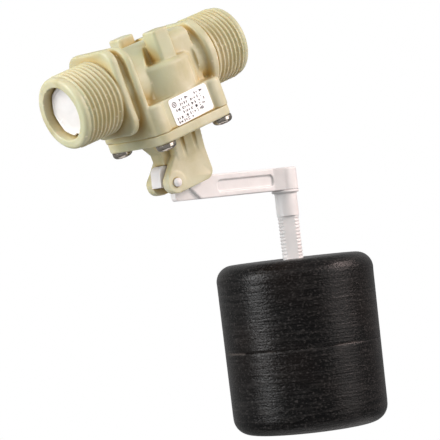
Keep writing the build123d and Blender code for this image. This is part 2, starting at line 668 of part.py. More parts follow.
def float_lever():
    """Hub, a thin web below it, the arm with a pocket on each side, and a boss at the far end."""
    hub = slab([(HUB_START, HUB_BOTTOM), (HUB_END, HUB_BOTTOM), (HUB_END, HUB_TOP), (HUB_START, HUB_TOP)],
               HUB_HALF)
    hub = fillet(hub.edges().filter_by(Axis.Y).sort_by(Axis.Z)[-2:], HUB_EDGE)
    web_top = HUB_BOTTOM + OVERLAP
    web = slab([(WEB_START, web_top), (WEB_START, ARM_BOTTOM), ARM_SLANT[1], ARM_SLANT[0],
                (ARM_SLANT[0][0], web_top)], WEB_HALF)
    web = fillet(web.edges().filter_by(Axis.Y).sort_by(Axis.X)[:2].sort_by(Axis.Z)[0], WEB_CORNER)
    arm = slab([ARM_SLANT[0], ARM_SLANT[1], (STEM_X, ARM_BOTTOM), (STEM_X, ARM_TOP),
                (ARM_SLANT[0][0], ARM_TOP)], ARM_HALF)
    boss = z_cylinder(END_BOSS_R, ARM_BOTTOM, ARM_TOP, STEM_X)
    boss = fillet(boss.edges().sort_by(Axis.Z)[-1], FINE_EDGE)
    solid = hub + web + arm + arm_flare() + boss
    left, right, low, high = ARM_POCKET
    pocket = Pos((left + right) / 2, 0, (low + high) / 2) * Box(right - left, ARM_POCKET_DEPTH, high - low)
    pocket = softened(pocket, ARM_POCKET_CORNER, Axis.Y)
    for side in (-1, 1):
        solid -= Pos(0, side * (ARM_HALF - ARM_POCKET_DEPTH / 2), 0) * pocket
    solid -= y_cylinder(PIN_R + LEVER_HOLE_GAP, -HUB_HALF, HUB_HALF, 0, 0)
    solid -= z_cylinder(PAD_R + HOLE_GAP, HUB_TOP - PAD_POCKET, HUB_TOP, PAD_X)
    solid -= z_cylinder(STEM_PEG_R + HOLE_GAP, ARM_BOTTOM, ARM_TOP, STEM_X)
    return solid - z_cylinder(STEM_HEAD_R + HOLE_GAP, ARM_TOP - STEM_HEAD_DEPTH, ARM_TOP, STEM_X)


def pilot_pad():
    pad = z_cylinder(PAD_R, HUB_TOP - PAD_POCKET, PAD_TOP, PAD_X)
    return fillet(pad.edges().sort_by(Axis.Z)[-1], PAD_EDGE)


def threaded_stem():
    """A peg with a riveted head in the arm's boss, a collar, a plain shank and a long thread."""
    collar_bottom = ARM_BOTTOM - STEM_COLLAR_LENGTH
    peg = z_cylinder(STEM_PEG_R, ARM_BOTTOM, ARM_TOP - STEM_HEAD_DEPTH, STEM_X)
    head = z_cylinder(STEM_HEAD_R, ARM_TOP - STEM_HEAD_DEPTH, ARM_TOP, STEM_X)
    collar = z_cylinder(STEM_COLLAR_R, collar_bottom, ARM_BOTTOM, STEM_X)
    collar = fillet(collar.edges().filter_by(GeomType.CIRCLE), STEM_COLLAR_EDGE)
    shank = z_cylinder(STEM_SHANK_R, STEM_THREAD_START, collar_bottom, STEM_X)
    thread = z_cylinder(STEM_THREAD_R, STEM_END, STEM_THREAD_START, STEM_X)
    thread = chamfer(thread.edges().sort_by(Axis.Z)[0], STEM_THREAD_DEPTH)
    cutter = helical_groove(STEM_THREAD_R, STEM_THREAD_PITCH, STEM_THREAD_DEPTH, STEM_THREAD_ROOT,
                            STEM_THREAD_FLANK_DEG, STEM_THREAD_START - STEM_END)
    thread -= Pos(STEM_X, 0, STEM_END) * cutter
    return peg + head + collar + shank + thread


def float_form(inset):
    """The float's outer form, or its inside when inset by the wall."""
    top = FLOAT_TOP - inset
    bottom = FLOAT_BOTTOM + inset
    corners = [(0, top), (FLOAT_TOP_R - inset, top), (FLOAT_BOTTOM_R - inset, bottom), (0, bottom)]
    face = make_face(Polyline(*corners, close=True))
    rim = face.vertices().sort_by(Axis.X)[-2:].sort_by(Axis.Y)
    face = fillet(rim[0], FLOAT_BOTTOM_FILLET - inset)
    rim = face.vertices().sort_by(Axis.X)[-1]
    face = fillet(rim, FLOAT_TOP_FILLET - inset)
    return Pos(STEM_X, 0, 0) * revolve(Plane.XZ * face, Axis.Z, FULL_TURN)


def float_half(low, high):
    """The part of the hollow float between two heights, with its seam edge chamfered."""
    width = 3 * FLOAT_TOP_R
    cut = Pos(STEM_X, 0, (low + high) / 2) * Box(width, width, high - low)
    return (float_form(0) - float_form(FLOAT_WALL)) & cut


def seam_radius():
    share = (FLOAT_TOP - FLOAT_SEAM) / (FLOAT_TOP - FLOAT_BOTTOM)
    return FLOAT_TOP_R + share * (FLOAT_BOTTOM_R - FLOAT_TOP_R)


def seam_groove():
    """The shallow V round the float where its halves are welded."""
    radius = seam_radius()
    points = [(radius + SEAM_CHAMFER, FLOAT_SEAM + 2 * SEAM_CHAMFER), (radius - SEAM_CHAMFER, FLOAT_SEAM),
              (radius + SEAM_CHAMFER, FLOAT_SEAM - 2 * SEAM_CHAMFER)]
    return Pos(STEM_X, 0, 0) * turned(points)


def float_upper_shell():
    """The upper half, with a blind socket for the insert and the end of the stem."""
    solid = float_half(FLOAT_SEAM, FLOAT_TOP)
    insert_bottom = FLOAT_TOP - INSERT_RECESS - INSERT_LENGTH
    solid += z_cylinder(FLOAT_SOCKET_R, FLOAT_SOCKET_END, FLOAT_TOP - FLOAT_WALL / 2, STEM_X)
    solid -= z_cylinder(INSERT_R + HOLE_GAP, insert_bottom, FLOAT_TOP, STEM_X)
    solid -= z_cylinder(SOCKET_BORE_R, FLOAT_SOCKET_END + SOCKET_FLOOR, insert_bottom, STEM_X)
    return solid - seam_groove()


def float_lower_shell():
    """The lower half, with a lip inside the upper one."""
    solid = float_half(FLOAT_BOTTOM, FLOAT_SEAM)
    outer = seam_radius() - FLOAT_WALL - SEAM_LIP_GAP
    base = FLOAT_SEAM - SEAM_LIP
    lip = z_cylinder(outer, base, FLOAT_SEAM + SEAM_LIP, STEM_X)
    root = z_cylinder(outer + FLOAT_WALL / 2, base, FLOAT_SEAM - HOLE_GAP, STEM_X)
    hollow = z_cylinder(outer - SEAM_LIP_WALL, base, FLOAT_SEAM + SEAM_LIP, STEM_X)
    solid += (lip + root) - hollow
    return solid - seam_groove()


def float_insert():
    """A flanged bush with a plain bore that runs on the crests of the stem's thread."""
    top = FLOAT_TOP - INSERT_RECESS
    solid = z_cylinder(INSERT_R, top - INSERT_LENGTH, top, STEM_X)
    solid -= z_cylinder(STEM_THREAD_R + STEM_CLEARANCE, top - INSERT_LENGTH, top, STEM_X)
    mouth = solid.edges().filter_by(GeomType.CIRCLE).sort_by(Axis.Z)[-2:].sort_by(SortBy.RADIUS)[0]
    return chamfer(mouth, INSERT_RECESS)


LEVER_PLACE = Pos(PIVOT_X, 0, PIVOT_Z) * Rot(0, DROOP_DEG, 0)

FIXED_NODES = (valve_body, inlet_strainer, label, cover_bracket, cover_screws, pilot_nozzle, nozzle_seal,
               pivot_pin, pin_clip, diaphragm, diaphragm_guide, diaphragm_plate, guide_screw, bleed_jet,
               main_spring)
LEVER_NODES = (float_lever, pilot_pad, threaded_stem, float_upper_shell, float_lower_shell, float_insert)

os.makedirs("parts", exist_ok=True)
for make in FIXED_NODES:
    export_step(make(), f"parts/{make.__name__}.step")
for make in LEVER_NODES:
    export_step(LEVER_PLACE * make(), f"parts/{make.__name__}.step")
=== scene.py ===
import json
import math

import bmesh
import bpy
from mathutils import Matrix, Vector

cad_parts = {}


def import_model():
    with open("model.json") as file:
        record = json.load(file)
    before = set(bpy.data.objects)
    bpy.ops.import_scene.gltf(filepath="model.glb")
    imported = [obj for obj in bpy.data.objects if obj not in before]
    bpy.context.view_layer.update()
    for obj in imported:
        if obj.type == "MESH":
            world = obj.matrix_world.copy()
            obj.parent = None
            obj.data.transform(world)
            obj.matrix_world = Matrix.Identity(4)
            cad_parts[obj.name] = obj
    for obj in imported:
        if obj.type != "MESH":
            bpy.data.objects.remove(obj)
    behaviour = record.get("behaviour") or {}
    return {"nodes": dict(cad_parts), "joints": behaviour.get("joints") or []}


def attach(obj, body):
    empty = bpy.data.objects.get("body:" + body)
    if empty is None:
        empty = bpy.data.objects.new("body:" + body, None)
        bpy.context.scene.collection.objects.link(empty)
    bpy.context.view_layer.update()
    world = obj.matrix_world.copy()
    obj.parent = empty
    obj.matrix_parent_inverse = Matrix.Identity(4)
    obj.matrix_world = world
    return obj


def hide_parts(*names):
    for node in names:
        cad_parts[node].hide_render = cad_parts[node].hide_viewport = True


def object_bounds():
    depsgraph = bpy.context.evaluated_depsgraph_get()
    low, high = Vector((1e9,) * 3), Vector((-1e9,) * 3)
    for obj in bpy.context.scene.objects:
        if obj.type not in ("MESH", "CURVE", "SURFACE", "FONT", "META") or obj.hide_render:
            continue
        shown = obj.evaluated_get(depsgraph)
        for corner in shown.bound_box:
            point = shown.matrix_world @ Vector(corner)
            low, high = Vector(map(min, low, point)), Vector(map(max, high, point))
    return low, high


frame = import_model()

# Looks for the float valve. Metres, in the CAD model's frame: +X runs from the inlet to the outlet, +Z is up
# and -Y is the side with the label. MM turns the millimetre sizes below into metres.
MM = 0.001
CAD_BOX = [list(corner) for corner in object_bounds()]

# The lever's frame: its pivot, and the angle it hangs at
PIVOT = Vector(frame["joints"][0]["pos_m"])
STEM_DOWN = Vector(frame["joints"][2]["axis"]).normalized()
DROOP = math.atan2(-STEM_DOWN.x, -STEM_DOWN.z)
LEVER_FRAME = Matrix.Translation(PIVOT) @ Matrix.Rotation(DROOP, 4, "Y")
STEM_X = 52.9 * MM

# How finely the moulded parts are remeshed, and how much their edges are softened
BODY_VOXEL = 0.30 * MM
ARM_VOXEL = 0.22 * MM

# Threaded stem, in the lever's frame
STEM_TOP = -6.5 * MM
STEM_COLLAR_R = 5.0 * MM
STEM_COLLAR_BOTTOM = -7.5 * MM
STEM_SHANK_R = 4.05 * MM
STEM_THREAD_START = -15.9 * MM
STEM_THREAD_R = 3.85 * MM
STEM_THREAD_PITCH = 1.25 * MM
STEM_THREAD_DEPTH = 0.27 * MM
STEM_FLAT_HALF = 3.0 * MM
STEM_FLAT_TURN = math.radians(234)
STEM_END = -47.3 * MM

# Float, in the lever's frame
FLOAT_TOP = -31.5 * MM
FLOAT_SEAM = -62.9 * MM
FLOAT_BOTTOM = -93.2 * MM
FLOAT_TOP_R = 28.6 * MM
FLOAT_BOTTOM_R = 28.1 * MM
FLOAT_TOP_FILLET = 6.0 * MM
FLOAT_BOTTOM_FILLET = 6.2 * MM
FLOAT_WALL = 2.0 * MM
FLOAT_MOUTH_R = 5.25 * MM
FLOAT_SEGMENTS = 256
SEAM_DEPTH = 0.12 * MM
SEAM_HALF_WIDTH = 0.10 * MM

# Cover screws
SCREW_CENTRE_X = 40.4 * MM
SCREW_HALF_PITCH = 13.2 * MM
SCREW_SEAT = -22.0 * MM
SCREW_HEAD_R = 3.6 * MM
SCREW_HEAD_H = 2.7 * MM
SCREW_RECESS_R = 2.1 * MM
SCREW_RECESS_DEPTH = 1.4 * MM

# Strainer in the inlet
STRAINER_FACE = 3.2 * MM
STRAINER_DEPTH = 5.0 * MM
STRAINER_R = 9.4 * MM
STRAINER_FLAT_R = 9.15 * MM

# Label on the deck's side
LABEL_CENTRE = Vector((41.3, -15.5, -13.27)) * MM
LABEL_SIZE = (17.7 * MM, 9.6 * MM)
LABEL_CORNER = 1.2 * MM
LABEL_THICKNESS = 0.15 * MM
LABEL_TILT = math.radians(1.5)
INK_THICKNESS = 0.02 * MM
PRINT_MARGIN = 0.7 * MM
STROKE = 0.27 * MM
RING_STEPS = 24
RING_INNER_R = 0.72 * MM
RING_OUTER_R = 1.0 * MM
RING_BAR_SIZE = (0.9 * MM, 0.28 * MM)


# ---- Materials ----

class Shader:
    """A material with one Principled node, and short ways to add the nodes that drive it."""

    def __init__(self, name, **inputs):
        self.material = bpy.data.materials.new(name)
        self.material.use_nodes = True
        self.tree = self.material.node_tree
        self.bsdf = self.tree.nodes["Principled BSDF"]
        for socket, value in inputs.items():
            self.bsdf.inputs[socket.replace("_", " ")].default_value = value
        self.object_coords = self.add("ShaderNodeTexCoord").outputs["Object"]

    def add(self, kind, **settings):
        node = self.tree.nodes.new(kind)
        for key, value in settings.items():
            setattr(node, key, value)
        return node

    def link(self, source, target):
        self.tree.links.new(source, target)

    def placed(self, scale=(1, 1, 1), tilt=0.0):
        """Object coordinates, turned about Y by tilt and then stretched."""
        turn = self.add("ShaderNodeMapping")
        turn.inputs["Rotation"].default_value = (0, -tilt, 0)
        self.link(self.object_coords, turn.inputs["Vector"])
        stretch = self.add("ShaderNodeMapping")
        stretch.inputs["Scale"].default_value = scale
        self.link(turn.outputs["Vector"], stretch.inputs["Vector"])
        return stretch.outputs["Vector"]

    def noise(self, scale, detail=3.0, coords=None, distortion=0.0):
        node = self.add("ShaderNodeTexNoise")
        node.inputs["Scale"].default_value = scale
        node.inputs["Detail"].default_value = detail
        node.inputs["Distortion"].default_value = distortion
        self.link(coords or self.object_coords, node.inputs["Vector"])
        return node.outputs["Fac"]

    def ramp(self, value, low, high, start=(0, 0, 0, 1), end=(1, 1, 1, 1)):
        node = self.add("ShaderNodeValToRGB")
        first, last = node.color_ramp.elements
        first.position, first.color = low, start
        last.position, last.color = high, end
        self.link(value, node.inputs["Fac"])
        return node.outputs["Color"]

    def mix(self, factor, a, b, blend="MIX"):
        """Colours a and b mixed; each is a socket or a colour, and factor is a socket or a number."""
        node = self.add("ShaderNodeMix", data_type="RGBA", blend_type=blend)
        for socket, value in ((node.inputs[0], factor), (node.inputs[6], a), (node.inputs[7], b)):
            if isinstance(value, bpy.types.NodeSocket):
                self.link(value, socket)
            else:
                socket.default_value = value
        return node.outputs[2]

    def painted_corner_shade(self, distance, low, high):
        """Near 1 in corners and grooves, and 0 on open faces; the materials paint shade with it."""
        node = self.add("ShaderNodeAmbientOcclusion", samples=8)
        node.inputs["Distance"].default_value = distance
        return self.ramp(node.outputs["AO"], low, high, (1, 1, 1, 1), (0, 0, 0, 1))

    def edges(self, low, high):
        """Near 1 on outer edges, where the materials paint a highlight."""
        node = self.add("ShaderNodeNewGeometry")
        return self.ramp(node.outputs["Pointiness"], low, high)

    def bumps(self, *layers):
        """Stack (height, strength, distance) layers into the normal."""
        normal = None
        for height, strength, distance in layers:
            node = self.add("ShaderNodeBump")
            node.inputs["Strength"].default_value = strength
            node.inputs["Distance"].default_value = distance
            self.link(height, node.inputs["Height"])
            if normal:
                self.link(normal, node.inputs["Normal"])
            normal = node.outputs["Normal"]
        self.link(normal, self.bsdf.inputs["Normal"])

    def colour(self, socket):
        self.link(socket, self.bsdf.inputs["Base Color"])

    def roughness(self, value, low, high):
        """Roughness that runs from low to high as value goes from 0 to 1."""
        node = self.add("ShaderNodeMapRange")
        node.inputs["To Min"].default_value = low
        node.inputs["To Max"].default_value = high
        self.link(value, node.inputs["Value"])
        self.link(node.outputs["Result"], self.bsdf.inputs["Roughness"])


def cream_nylon():
    """Natural glass-filled nylon: cloudy cream with short fibres near the skin, painted amber shade in
    corners and grooves, and a painted highlight on outer edges.
    """
    s = Shader("cream_nylon", Subsurface_Weight=0.22, Subsurface_Radius=(1.0, 0.70, 0.34),
               Subsurface_Scale=0.0022, Specular_IOR_Level=0.40)
    clouds = s.noise(85, 4.0, distortion=0.5)
    fine = s.noise(420, 3.0)
    fibres = s.noise(1.0, 3.0, s.placed((900, 5200, 5200)))
    base = s.mix(s.ramp(clouds, 0.35, 0.66), (0.425, 0.390, 0.230, 1), (0.560, 0.532, 0.378, 1))
    base = s.mix(s.ramp(s.noise(38, 2.0), 0.45, 0.72), base, (0.445, 0.455, 0.295, 1))
    base = s.mix(s.ramp(fibres, 0.60, 0.85, end=(0.25, 0.25, 0.25, 1)), base, (0.66, 0.60, 0.44, 1))
    # Painted shade: amber-brown in deep corners, and a lighter amber in thread roots and small grooves.
    base = s.mix(s.painted_corner_shade(0.0060, 0.22, 0.90), base, (0.50, 0.33, 0.090, 1))
    base = s.mix(s.painted_corner_shade(0.0016, 0.20, 0.80), base, (0.50, 0.40, 0.19, 1))
    # Painted highlight: a lighter cream on outer edges.
    base = s.mix(s.edges(0.53, 0.66), base, (0.66, 0.60, 0.44, 1))
    s.colour(base)
    s.roughness(s.ramp(fine, 0.3, 0.7), 0.34, 0.52)
    s.bumps((clouds, 0.14, 0.0007), (fine, 0.12, 0.00018), (fibres, 0.12, 0.00004))
    return s.material


def white_acetal():
    """White acetal: bright and waxy, faintly pink inside, with flow marks."""
    s = Shader("white_acetal", Subsurface_Weight=0.25, Subsurface_Radius=(1.0, 0.82, 0.80),
               Subsurface_Scale=0.0012, Specular_IOR_Level=0.42)
    flow = s.noise(110, 3.0, distortion=1.2)
    grain = s.noise(2600, 2.0)
    base = s.mix(s.ramp(flow, 0.35, 0.70), (0.66, 0.641, 0.634, 1), (0.72, 0.704, 0.698, 1))
    # Painted shade: a greyer white in corners and grooves.
    base = s.mix(s.painted_corner_shade(0.0018, 0.15, 0.65), base, (0.58, 0.548, 0.537, 1))
    # Painted highlight: a brighter white on outer edges.
    base = s.mix(s.edges(0.53, 0.64), base, (0.78, 0.765, 0.755, 1))
    s.colour(base)
    s.roughness(s.ramp(flow, 0.3, 0.7), 0.30, 0.45)
    s.bumps((flow, 0.08, 0.0005), (grain, 0.06, 0.00005))
    return s.material


def black_float():
    """Black moulded plastic: fine rings round it, a grain with painted glints, a brown cast at random places
    painted for warm reflections, and painted highlights on its edges.
    """
    s = Shader("black_float", Specular_IOR_Level=0.17)
    streaks = s.noise(1.0, 4.0, s.placed((100, 100, 1150), DROOP))
    bands = s.noise(1.0, 2.0, s.placed((9, 9, 260), DROOP))
    specks = s.noise(1.0, 3.0, s.placed((1100, 1100, 1700), DROOP))
    base = s.mix(s.ramp(streaks, 0.48, 0.72), (0.0010, 0.0009, 0.0009, 1), (0.0130, 0.0118, 0.0113, 1))
    # Painted reflection: a warm brown cast, scattered at random by noise.
    base = s.mix(s.ramp(s.noise(26, 2.0), 0.50, 0.85), base, (0.0085, 0.0046, 0.0032, 1))
    base = s.mix(s.ramp(bands, 0.62, 0.82, end=(0.4, 0.4, 0.4, 1)), base, (0.020, 0.017, 0.016, 1))
    # Painted glints: the grain's specks are coloured lighter; their bumps and roughness are real.
    base = s.mix(s.ramp(specks, 0.56, 0.70, end=(0.6, 0.6, 0.6, 1)), base, (0.048, 0.043, 0.041, 1))
    # Painted highlight: broken warm grey specks on the seam and other outer edges.
    edge_glint = s.mix(s.ramp(s.noise(90, 3.0), 0.50, 0.62), (0.008, 0.007, 0.006, 1), (0.24, 0.20, 0.18, 1))
    base = s.mix(s.edges(0.54, 0.62), base, edge_glint)
    s.colour(base)
    s.roughness(s.ramp(specks, 0.35, 0.70), 0.24, 0.40)
    s.bumps((bands, 0.12, 0.00020), (streaks, 0.85, 0.00030), (specks, 0.85, 0.00020))
    return s.material


def plated_steel():
    """Bright plated steel with fine scratches, and painted shade darkening its recess."""
    s = Shader("plated_steel", Metallic=1.0)
    scratches = s.noise(1.0, 5.0, s.placed((400, 9000, 9000)))
    mottle = s.noise(900, 3.0)
    base = s.mix(s.ramp(mottle, 0.35, 0.7), (0.36, 0.32, 0.275, 1), (0.54, 0.50, 0.45, 1))
    # Painted shade: near black in the recess and corners.
    base = s.mix(s.painted_corner_shade(0.0012, 0.35, 0.85), base, (0.05, 0.04, 0.035, 1))
    s.colour(base)
    s.roughness(s.ramp(scratches, 0.35, 0.75), 0.13, 0.30)
    s.bumps((mottle, 0.06, 0.00008), (scratches, 0.12, 0.00002))
    return s.material


def spring_steel():
    """Drawn stainless wire and stamped sheet, greyer and duller than the screws."""
    s = Shader("spring_steel", Metallic=1.0)
    drawn = s.noise(1.0, 4.0, s.placed((6000, 6000, 700)))
    s.colour(s.mix(s.ramp(drawn, 0.35, 0.7), (0.44, 0.44, 0.45, 1), (0.60, 0.60, 0.61, 1)))
    s.roughness(drawn, 0.24, 0.42)
    s.bumps((drawn, 0.15, 0.00002))
    return s.material


def brass():
    """Turned brass with a dulled skin."""
    s = Shader("brass", Metallic=1.0)
    turned = s.noise(1.0, 3.0, s.placed((60, 60, 9000)))
    dull = s.noise(500, 3.0)
    s.colour(s.mix(s.ramp(dull, 0.35, 0.75), (0.72, 0.53, 0.22, 1), (0.50, 0.34, 0.13, 1)))
    s.roughness(dull, 0.22, 0.45)
    s.bumps((turned, 0.2, 0.00002))
    return s.material


def rubber():
    """Matt black rubber with a fine bloom."""
    s = Shader("rubber", Specular_IOR_Level=0.35)
    bloom = s.noise(350, 4.0)
    grain = s.noise(5000, 2.0)
    s.colour(s.mix(s.ramp(bloom, 0.4, 0.75), (0.018, 0.018, 0.019, 1), (0.05, 0.048, 0.047, 1)))
    s.roughness(bloom, 0.62, 0.85)
    s.bumps((grain, 0.25, 0.00003))
    return s.material


def label_film():
    """White film with a slight orange peel."""
    s = Shader("label_film", Specular_IOR_Level=0.5)
    peel = s.noise(1800, 2.0)
    tone = s.noise(160, 3.0)
    s.colour(s.mix(s.ramp(tone, 0.3, 0.7), (0.90, 0.90, 0.905, 1), (0.94, 0.94, 0.94, 1)))
    s.roughness(tone, 0.28, 0.40)
    s.bumps((peel, 0.10, 0.00004))
    return s.material


def label_ink():
    """Thin grey print, rubbed away in places."""
    s = Shader("label_ink", Specular_IOR_Level=0.3)
    wear = s.noise(2400, 3.0)
    s.colour(s.mix(s.ramp(wear, 0.52, 0.80), (0.022, 0.022, 0.028, 1), (0.14, 0.14, 0.16, 1)))
    s.roughness(wear, 0.45, 0.65)
    s.bumps((wear, 0.1, 0.00002))
    return s.material


MATERIALS = {make.__name__: make() for make in (cream_nylon, white_acetal, black_float, plated_steel,
                                                spring_steel, brass, rubber, label_film, label_ink)}


def paint(piece, material):
    piece.data.materials.clear()
    piece.data.materials.append(MATERIALS[material])


# ---- Making pieces ----

def finish_piece(piece, body, material, replaces=()):
    """Paint a piece, make it ride on its body and hide the nodes that it stands for."""
    paint(piece, material)
    for polygon in piece.data.polygons:
        polygon.use_smooth = True
    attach(piece, body)
    if replaces:
        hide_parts(*replaces)
    return piece


def new_piece(name, shape, place=Matrix.Identity(4)):
    """A mesh object from a bmesh, with its place put into its vertices."""
    bmesh.ops.remove_doubles(shape, verts=shape.verts, dist=1e-7)
    bmesh.ops.recalc_face_normals(shape, faces=shape.faces)
    mesh = bpy.data.meshes.new(name)
    shape.to_mesh(mesh)
    shape.free()
    mesh.transform(place)
    piece = bpy.data.objects.new(name, mesh)
    bpy.context.scene.collection.objects.link(piece)
    return piece


def applied(piece):
    """The piece with its modifiers worked into its mesh."""
    bpy.context.view_layer.update()
    result = piece.evaluated_get(bpy.context.evaluated_depsgraph_get())
    mesh = bpy.data.meshes.new_from_object(result)
    piece.modifiers.clear()
    piece.data = mesh
    return piece


def moulded(name, node, voxel, passes, keep):
    """The node's solid made over as one soft-edged skin: remeshed evenly, smoothed and thinned out."""
    shape = bmesh.new()
    shape.from_mesh(frame["nodes"][node].data)
    piece = new_piece(name, shape, Matrix.Scale(1 / MM, 4))
    remesh = piece.modifiers.new("remesh", "REMESH")
    remesh.mode = "VOXEL"
    remesh.voxel_size = voxel / MM
    smooth = piece.modifiers.new("smooth", "SMOOTH")
    smooth.factor = 0.5
    smooth.iterations = passes
    thin = piece.modifiers.new("thin", "DECIMATE")
    thin.ratio = keep
    applied(piece)
    piece.data.transform(Matrix.Scale(MM, 4))
    return piece


def lathe(profile, segments):
    """A bmesh turned about Z from (radius, height) points; a radius of 0 closes it at the axis."""
    shape = bmesh.new()
    rings = []
    for radius, height in profile:
        if radius < 1e-9:
            rings.append([shape.verts.new((0, 0, height))])
        else:
            rings.append([shape.verts.new((radius * math.cos(a), radius * math.sin(a), height))
                          for a in (math.tau * i / segments for i in range(segments))])
    for lower, upper in zip(rings, rings[1:]):
        for i in range(segments):
            j = (i + 1) % segments
            corners = [lower[i % len(lower)], lower[j % len(lower)],
                       upper[j % len(upper)], upper[i % len(upper)]]
            corners = list(dict.fromkeys(corners))
            if len(corners) > 2:
                shape.faces.new(corners)
    return shape


def arc(centre, radius, start_deg, end_deg, steps):
    """(radius, height) points on a circular arc, both ends included."""
    points = []
    for i in range(steps + 1):
        angle = math.radians(start_deg + (end_deg - start_deg) * i / steps)
        points.append((centre[0] + radius * math.cos(angle), centre[1] + radius * math.sin(angle)))
    return points


def line(start, end, steps):
    """Points from start to end, without the last one."""
    return [tuple(a + (b - a) * i / steps for a, b in zip(start, end)) for i in range(steps)]


# ---- Body and cover ----

finish_piece(moulded("body_shell", "valve_body", BODY_VOXEL, 5, 0.45), "valve", "cream_nylon",
             replaces=["valve_body"])
finish_piece(moulded("cover_shell", "cover_bracket", BODY_VOXEL, 4, 0.5), "valve", "cream_nylon",
             replaces=["cover_bracket"])


# ---- Lever and stem ----

finish_piece(moulded("lever_arm", "float_lever", ARM_VOXEL, 6, 0.5), "lever", "white_acetal",
             replaces=["float_lever"])


def stem_radius(z, angle):
    """The stem's radius at a height and angle: a rounded ridge that climbs a pitch a turn, and two flats."""
    if z > STEM_THREAD_START:
        return STEM_SHANK_R
    flat = STEM_FLAT_HALF / max(0.1, abs(math.cos(angle - STEM_FLAT_TURN)))
    phase = z / STEM_THREAD_PITCH - angle / math.tau
    ridge = 0.5 + 0.5 * math.cos(math.tau * phase)
    run_in = min(1.0, (STEM_THREAD_START - z) / STEM_THREAD_PITCH)
    run_out = max(0.0, (STEM_END + STEM_THREAD_PITCH - z) / STEM_THREAD_PITCH)
    return min(flat, STEM_THREAD_R - run_in * STEM_THREAD_DEPTH * (1 - ridge) - run_out * STEM_THREAD_DEPTH)


def threaded_stem():
    """Collar, plain shank and thread as one skin; the head of its peg in the arm's boss is the separate
    stem_rivet piece.
    """
    segments, step = 96, 0.11 * MM
    collar_edge = 0.4 * MM
    shape = bmesh.new()
    rows = [[(0, STEM_TOP)] * segments]
    for radius, height in (arc((STEM_COLLAR_R - collar_edge, STEM_TOP - collar_edge), collar_edge, 90, 0, 5)
                           + arc((STEM_COLLAR_R - collar_edge, STEM_COLLAR_BOTTOM + collar_edge),
                                 collar_edge, 0, -90, 5)
                           + arc((STEM_SHANK_R + collar_edge, STEM_COLLAR_BOTTOM - collar_edge),
                                 collar_edge, 90, 180, 5)):
        rows.append([(radius, height)] * segments)
    z = STEM_COLLAR_BOTTOM - 2 * collar_edge
    while z > STEM_END:
        rows.append([(stem_radius(z, math.tau * i / segments), z) for i in range(segments)])
        z -= step
    rows.append([(STEM_THREAD_R - 2 * STEM_THREAD_DEPTH, STEM_END)] * segments)
    rows.append([(0, STEM_END)] * segments)
    turns = [math.tau * i / segments for i in range(segments)]
    rings = [[shape.verts.new((r * math.cos(turn), r * math.sin(turn), h))
              for turn, (r, h) in zip(turns, row)] for row in rows]
    for upper, lower in zip(rings, rings[1:]):
        for i in range(segments):
            j = (i + 1) % segments
            shape.faces.new((upper[i], upper[j], lower[j], lower[i]))
    bmesh.ops.remove_doubles(shape, verts=shape.verts, dist=1e-7)
    return new_piece("stem", shape, LEVER_FRAME @ Matrix.Translation((STEM_X, 0, 0)))


finish_piece(threaded_stem(), "lever", "white_acetal", replaces=["threaded_stem"])


def stem_rivet():
    """The peg's spread head, sunk in the top of the arm's boss."""
    top, radius, edge = 1.7 * MM, 3.15 * MM, 0.35 * MM
    profile = [(0, top - 1.0 * MM), (radius, top - 1.0 * MM)]
    profile += arc((radius - edge, top - edge), edge, 0, 90, 5)
    profile += [(radius * 0.62, top), (radius * 0.5, top - 0.12 * MM), (0, top - 0.2 * MM)]
    return new_piece("stem_rivet", lathe(profile, 64), LEVER_FRAME @ Matrix.Translation((STEM_X, 0, 0)))


finish_piece(stem_rivet(), "lever", "white_acetal")


# ---- Float ----

def float_side_radius(z):
    share = (FLOAT_TOP - z) / (FLOAT_TOP - FLOAT_BOTTOM)
    return FLOAT_TOP_R + share * (FLOAT_BOTTOM_R - FLOAT_TOP_R)


def float_piece(name, profile):
    return new_piece(name, lathe(profile, FLOAT_SEGMENTS), LEVER_FRAME @ Matrix.Translation((STEM_X, 0, 0)))


def float_upper():
    """The upper half: a soft mouth round the stem, a wide rounded shoulder and the side down to the seam."""
    mouth_edge = 0.5 * MM
    deep = FLOAT_TOP - 1.2 * MM
    inner_top = FLOAT_TOP - FLOAT_WALL
    profile = [(FLOAT_MOUTH_R, inner_top), (FLOAT_MOUTH_R, deep)]
    profile += arc((FLOAT_MOUTH_R + mouth_edge, FLOAT_TOP - mouth_edge), mouth_edge, 180, 90, 5)
    profile += line((9.5 * MM, FLOAT_TOP), (FLOAT_TOP_R - FLOAT_TOP_FILLET, FLOAT_TOP), 6)
    shoulder = (FLOAT_TOP_R - FLOAT_TOP_FILLET, FLOAT_TOP - FLOAT_TOP_FILLET)
    profile += arc(shoulder, FLOAT_TOP_FILLET, 90, 0, 16)
    start = FLOAT_TOP - FLOAT_TOP_FILLET - 1.0 * MM
    side_end = FLOAT_SEAM + SEAM_HALF_WIDTH
    profile += line((float_side_radius(start), start), (float_side_radius(side_end), side_end), 24)
    profile += [(float_side_radius(side_end), side_end),
                (float_side_radius(FLOAT_SEAM) - SEAM_DEPTH, FLOAT_SEAM + 0.02 * MM)]
    inner = float_side_radius(FLOAT_SEAM) - FLOAT_WALL
    profile += [(inner, FLOAT_SEAM + 0.02 * MM), (inner, inner_top), (FLOAT_MOUTH_R, inner_top)]
    return float_piece("float_upper", profile)


